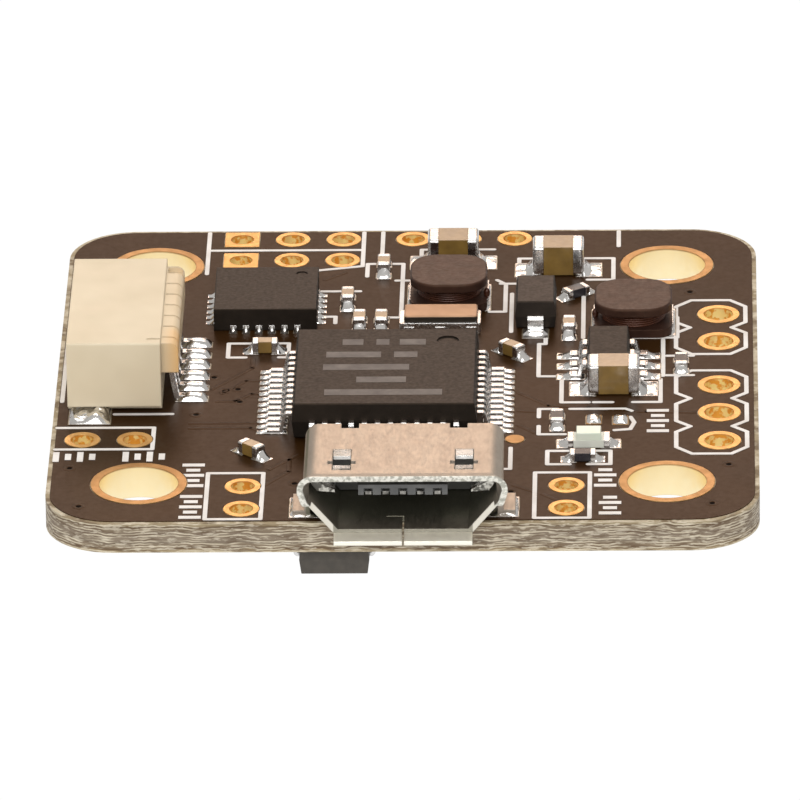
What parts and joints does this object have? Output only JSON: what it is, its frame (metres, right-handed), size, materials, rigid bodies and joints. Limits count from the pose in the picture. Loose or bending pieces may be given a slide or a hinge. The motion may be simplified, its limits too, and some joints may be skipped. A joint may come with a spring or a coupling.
{
  "type": "flight controller board",
  "caption": "Square populated circuit board with corner mounting holes, a micro USB socket, a side-entry plug connector, a lead-frame chip and plated wire holes.",
  "frame": {"origin": "centre of the four mounting holes, on the underside of the laminate", "axes": "+Z out of the component side, +X to the right and +Y away from the USB socket"},
  "size_m": [0.027, 0.0285, 0.0055],
  "materials": {
    "laminate": "glass-fibre laminate, cut edge",
    "solder_mask": "dark brown lacquer, semi-gloss",
    "white_ink": "screen-printed ink",
    "gold_plate": "gold-plated copper",
    "tinned_copper": "hot-tinned copper",
    "lead_tin": "tin-plated lead",
    "chip_epoxy": "moulded epoxy",
    "dark_epoxy": "moulded epoxy",
    "ferrite": "sintered ferrite",
    "coil_wire": "lacquered winding",
    "capacitor_ceramic": "fired ceramic, tan",
    "resistor_glaze": "dark glaze",
    "lid_plate": "tan ceramic cover",
    "cream_nylon": "natural nylon",
    "socket_steel": "nickel-plated sheet steel",
    "tongue_plastic": "black moulded plastic",
    "led_ceramic": "white ceramic",
    "led_resin": "clear resin over a pale chip"
  },
  "bodies": {
    "root": {"back_row_plating": "gold_plate", "boot_lands": "gold_plate", "chip_lands": "tinned_copper", "circuit_board": "laminate", "connector_lands": "tinned_copper", "diode_body": "dark_epoxy", "diode_leads": "lead_tin", "header_hole_plating": "gold_plate", "imu_body": "chip_epoxy", "imu_end_pads": "lead_tin", "inductor_coils": "coil_wire", "inductor_cores": "ferrite", "inductor_terminals": "lead_tin", "large_capacitor_bodies": "capacitor_ceramic", "large_capacitor_ends": "lead_tin", "led_base": "led_ceramic", "led_lens": "led_resin", "led_terminals": "lead_tin", "mcu_body": "chip_epoxy", "mcu_leads": "lead_tin", "mounting_hole_plating": "gold_plate", "passive_lands": "tinned_copper", "plug_contacts": "lead_tin", "plug_housing": "cream_nylon", "plug_tabs": "lead_tin", "printed_labels": "white_ink", "printed_outlines": "white_ink", "regulator_body": "chip_epoxy", "regulator_leads": "lead_tin", "resonator_base": "lead_tin", "resonator_lid": "lid_plate", "resonator_terminals": "lead_tin", "small_capacitor_bodies": "capacitor_ceramic", "small_capacitor_ends": "lead_tin", "small_resistor_bodies": "resistor_glaze", "small_resistor_ends": "lead_tin", "solder_mask_bottom": "solder_mask", "solder_mask_top": "solder_mask", "test_point": "gold_plate", "underside_diode_body": "dark_epoxy", "underside_diode_leads": "lead_tin", "underside_lands": "tinned_copper", "usb_contacts": "gold_plate", "usb_shell": "socket_steel", "usb_spring_fingers": "socket_steel", "usb_tails": "lead_tin", "usb_tongue": "tongue_plastic", "wire_hole_plating": "gold_plate"}
  },
  "joints": []
}
